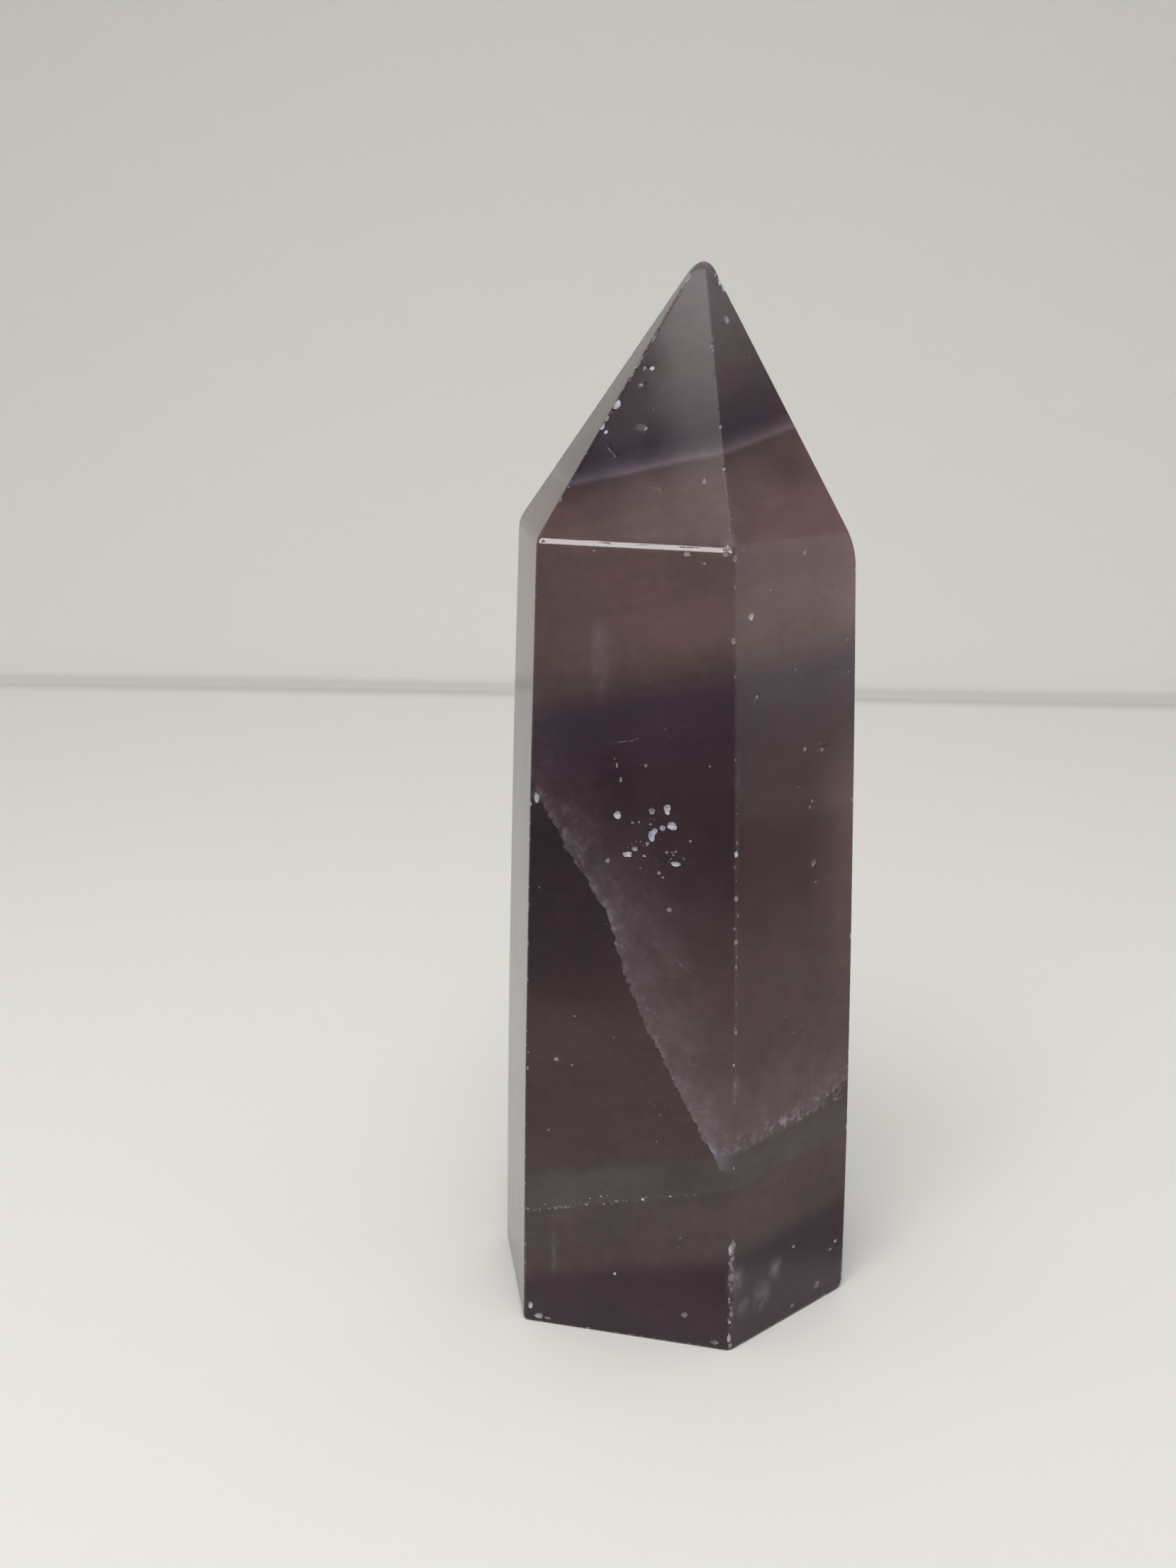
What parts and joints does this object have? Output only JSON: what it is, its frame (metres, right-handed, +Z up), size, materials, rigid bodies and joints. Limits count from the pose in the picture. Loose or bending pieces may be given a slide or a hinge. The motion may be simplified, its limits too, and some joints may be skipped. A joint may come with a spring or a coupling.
{
  "type": "fluorite tower",
  "caption": "Polished fluorite point: a faceted column with a tapered top and a flat base to stand on, banded in dark purple, brown and grey-green.",
  "frame": {"origin": "middle of the flat base, under the middle of the tower's box", "axes": "+Z up towards the tip; -Y is the way the widest face of the column looks"},
  "size_m": [0.0286, 0.025, 0.08],
  "materials": {
    "fluorite": "polished, dark and cloudy, colour-banded"
  },
  "bodies": {
    "root": {"fluorite_tower": "fluorite"}
  },
  "joints": []
}
